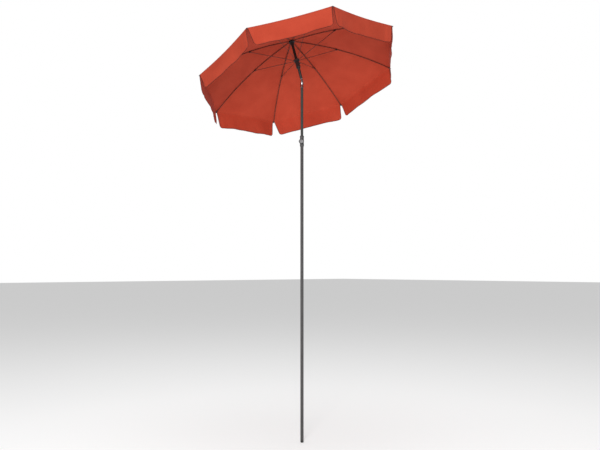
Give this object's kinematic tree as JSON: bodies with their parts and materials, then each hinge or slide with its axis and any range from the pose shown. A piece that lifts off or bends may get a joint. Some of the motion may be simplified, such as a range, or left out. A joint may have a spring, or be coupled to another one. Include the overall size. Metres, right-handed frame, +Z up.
{
  "type": "tilting garden parasol",
  "caption": "Folding tilt-head parasol with a panelled cloth canopy and hanging valance, on a two-part pole with a clamp screw.",
  "frame": {"origin": "centre of the flat underside of the pole's foot", "axes": "+Z up along the pole; the tilted head leans towards +Y; +X is the tilt pin's axis"},
  "size_m": [1.3454, 1.2662, 2.8508],
  "materials": {
    "anthracite_tube": "satin",
    "dark_tube": "satin",
    "black_tube": "satin",
    "plated_steel": "satin",
    "chrome_sleeve": "polished",
    "rib_steel": "satin",
    "black_plastic": "matte",
    "grey_plastic": "satin",
    "canopy_cloth": "matte woven"
  },
  "bodies": {
    "lower_pole": {"lower_pole": "anthracite_tube", "pole_foot": "black_plastic", "clamp_collar": "grey_plastic"},
    "clamp_screw": {"clamp_screw": "plated_steel"},
    "clamp_knob": {"clamp_knob": "grey_plastic"},
    "pole_guide": {"pole_guide": "black_plastic"},
    "upper_pole": {"upper_pole": "dark_tube", "tilt_fork": "plated_steel", "tilt_pin": "plated_steel"},
    "lock_sleeve": {"lock_sleeve": "chrome_sleeve"},
    "head": {"tilt_tongue": "plated_steel", "top_tube": "black_tube", "hub": "black_plastic", "hub_ring": "plated_steel", "finial": "black_plastic"},
    "runner": {"runner": "black_plastic"},
    "latch_button": {"latch_button": "black_plastic"},
    "rib_1": {"rib_1": "rib_steel", "rib_tip_1": "black_plastic", "strut_bracket_1": "rib_steel", "canopy_gore_1": "canopy_cloth"},
    "strut_1": {"strut_1": "rib_steel"},
    "rib_2": {"rib_2": "rib_steel", "rib_tip_2": "black_plastic", "strut_bracket_2": "rib_steel", "canopy_gore_2": "canopy_cloth"},
    "strut_2": {"strut_2": "rib_steel"},
    "rib_3": {"rib_3": "rib_steel", "rib_tip_3": "black_plastic", "strut_bracket_3": "rib_steel", "canopy_gore_3": "canopy_cloth"},
    "strut_3": {"strut_3": "rib_steel"},
    "rib_4": {"rib_4": "rib_steel", "rib_tip_4": "black_plastic", "strut_bracket_4": "rib_steel", "canopy_gore_4": "canopy_cloth"},
    "strut_4": {"strut_4": "rib_steel"},
    "rib_5": {"rib_5": "rib_steel", "rib_tip_5": "black_plastic", "strut_bracket_5": "rib_steel", "canopy_gore_5": "canopy_cloth"},
    "strut_5": {"strut_5": "rib_steel"},
    "rib_6": {"rib_6": "rib_steel", "rib_tip_6": "black_plastic", "strut_bracket_6": "rib_steel", "canopy_gore_6": "canopy_cloth"},
    "strut_6": {"strut_6": "rib_steel"},
    "rib_7": {"rib_7": "rib_steel", "rib_tip_7": "black_plastic", "strut_bracket_7": "rib_steel", "canopy_gore_7": "canopy_cloth"},
    "strut_7": {"strut_7": "rib_steel"},
    "rib_8": {"rib_8": "rib_steel", "rib_tip_8": "black_plastic", "strut_bracket_8": "rib_steel", "canopy_gore_8": "canopy_cloth"},
    "strut_8": {"strut_8": "rib_steel"}
  },
  "joints": [
    {"name": "height", "type": "slide", "parent": "lower_pole", "child": "pole_guide", "axis": [0, 0, 1], "range_m": [-0.3, 0.2]},
    {"name": "swivel", "type": "hinge", "parent": "pole_guide", "child": "upper_pole", "pos_m": [0, 0, 2], "axis": [0, 0, 1], "continuous": true},
    {"name": "clamp_screw_slide", "type": "slide", "parent": "lower_pole", "child": "clamp_screw", "axis": [-0.7431, -0.6691, 0], "range_m": [0, 0.00187]},
    {"name": "knob_turn", "type": "hinge", "parent": "clamp_screw", "child": "clamp_knob", "pos_m": [0, 0, 2.068], "axis": [-0.7431, -0.6691, 0], "range_deg": [0, 540]},
    {"name": "sleeve_pull", "type": "slide", "parent": "upper_pole", "child": "lock_sleeve", "axis": [0, 0, -1], "range_m": [0, 0.012], "stiffness_N_per_m": 400, "springref_m": -0.006},
    {"name": "tilt", "type": "hinge", "parent": "upper_pole", "child": "head", "pos_m": [0, 0, 2.505], "axis": [1, 0, 0], "range_deg": [0, 20]},
    {"name": "runner_slide", "type": "slide", "parent": "head", "child": "runner", "axis": [0, -0.342, -0.9397], "range_m": [0, 0.079]},
    {"name": "latch_press", "type": "slide", "parent": "runner", "child": "latch_button", "axis": [-0.7071, 0.6645, -0.2418], "range_m": [0, 0.002], "stiffness_N_per_m": 300, "springref_m": -0.002},
    {"name": "canopy_fold", "type": "hinge", "parent": "head", "child": "rib_1", "pos_m": [0.01663, 0.11797, 2.80898], "axis": [-0.3827, 0.8682, -0.316], "range_deg": [0, 57], "deforming": ["canopy_gore_1", "canopy_gore_2", "canopy_gore_3", "canopy_gore_4", "canopy_gore_5", "canopy_gore_6", "canopy_gore_7", "canopy_gore_8"]},
    {"name": "strut_1_fold", "type": "hinge", "parent": "rib_1", "child": "strut_1", "pos_m": [0.3049, 0.20298, 2.69344], "axis": [-0.3827, 0.8682, -0.316], "range_deg": [-134.5, 0]},
    {"name": "rib_2_fold", "type": "hinge", "parent": "head", "child": "rib_2", "pos_m": [0.00689, 0.12712, 2.80565], "axis": [-0.9239, 0.3596, -0.1309], "range_deg": [0, 57]},
    {"name": "strut_2_fold", "type": "hinge", "parent": "rib_2", "child": "strut_2", "pos_m": [0.12629, 0.37082, 2.63235], "axis": [-0.9239, 0.3596, -0.1309], "range_deg": [-134.5, 0]},
    {"name": "rib_3_fold", "type": "hinge", "parent": "head", "child": "rib_3", "pos_m": [-0.00689, 0.12712, 2.80565], "axis": [-0.9239, -0.3596, 0.1309], "range_deg": [0, 57]},
    {"name": "strut_3_fold", "type": "hinge", "parent": "rib_3", "child": "strut_3", "pos_m": [-0.12629, 0.37082, 2.63235], "axis": [-0.9239, -0.3596, 0.1309], "range_deg": [-134.5, 0]},
    {"name": "rib_4_fold", "type": "hinge", "parent": "head", "child": "rib_4", "pos_m": [-0.01663, 0.11797, 2.80898], "axis": [-0.3827, -0.8682, 0.316], "range_deg": [0, 57]},
    {"name": "strut_4_fold", "type": "hinge", "parent": "rib_4", "child": "strut_4", "pos_m": [-0.3049, 0.20298, 2.69344], "axis": [-0.3827, -0.8682, 0.316], "range_deg": [-134.5, 0]},
    {"name": "rib_5_fold", "type": "hinge", "parent": "head", "child": "rib_5", "pos_m": [-0.01663, 0.10503, 2.8137], "axis": [0.3827, -0.8682, 0.316], "range_deg": [0, 57]},
    {"name": "strut_5_fold", "type": "hinge", "parent": "rib_5", "child": "strut_5", "pos_m": [-0.3049, -0.03437, 2.77983], "axis": [0.3827, -0.8682, 0.316], "range_deg": [-134.5, 0]},
    {"name": "rib_6_fold", "type": "hinge", "parent": "head", "child": "rib_6", "pos_m": [-0.00689, 0.09587, 2.81703], "axis": [0.9239, -0.3596, 0.1309], "range_deg": [0, 57]},
    {"name": "strut_6_fold", "type": "hinge", "parent": "rib_6", "child": "strut_6", "pos_m": [-0.12629, -0.2022, 2.84091], "axis": [0.9239, -0.3596, 0.1309], "range_deg": [-134.5, 0]},
    {"name": "rib_7_fold", "type": "hinge", "parent": "head", "child": "rib_7", "pos_m": [0.00689, 0.09587, 2.81703], "axis": [0.9239, 0.3596, -0.1309], "range_deg": [0, 57]},
    {"name": "strut_7_fold", "type": "hinge", "parent": "rib_7", "child": "strut_7", "pos_m": [0.12629, -0.2022, 2.84091], "axis": [0.9239, 0.3596, -0.1309], "range_deg": [-134.5, 0]},
    {"name": "rib_8_fold", "type": "hinge", "parent": "head", "child": "rib_8", "pos_m": [0.01663, 0.10503, 2.8137], "axis": [0.3827, 0.8682, -0.316], "range_deg": [0, 57]},
    {"name": "strut_8_fold", "type": "hinge", "parent": "rib_8", "child": "strut_8", "pos_m": [0.3049, -0.03437, 2.77983], "axis": [0.3827, 0.8682, -0.316], "range_deg": [-134.5, 0]}
  ],
  "couplings": [
    {"joint": "knob_turn", "follows": "clamp_screw_slide", "rad_per_m": 5026.5},
    {"joint": "runner_slide", "follows": "canopy_fold", "m_per_rad": 0.078},
    {"joint": "strut_1_fold", "follows": "canopy_fold", "ratio": -2.35},
    {"joint": "rib_2_fold", "follows": "canopy_fold", "ratio": 1},
    {"joint": "strut_2_fold", "follows": "canopy_fold", "ratio": -2.35},
    {"joint": "rib_3_fold", "follows": "canopy_fold", "ratio": 1},
    {"joint": "strut_3_fold", "follows": "canopy_fold", "ratio": -2.35},
    {"joint": "rib_4_fold", "follows": "canopy_fold", "ratio": 1},
    {"joint": "strut_4_fold", "follows": "canopy_fold", "ratio": -2.35},
    {"joint": "rib_5_fold", "follows": "canopy_fold", "ratio": 1},
    {"joint": "strut_5_fold", "follows": "canopy_fold", "ratio": -2.35},
    {"joint": "rib_6_fold", "follows": "canopy_fold", "ratio": 1},
    {"joint": "strut_6_fold", "follows": "canopy_fold", "ratio": -2.35},
    {"joint": "rib_7_fold", "follows": "canopy_fold", "ratio": 1},
    {"joint": "strut_7_fold", "follows": "canopy_fold", "ratio": -2.35},
    {"joint": "rib_8_fold", "follows": "canopy_fold", "ratio": 1},
    {"joint": "strut_8_fold", "follows": "canopy_fold", "ratio": -2.35}
  ]
}
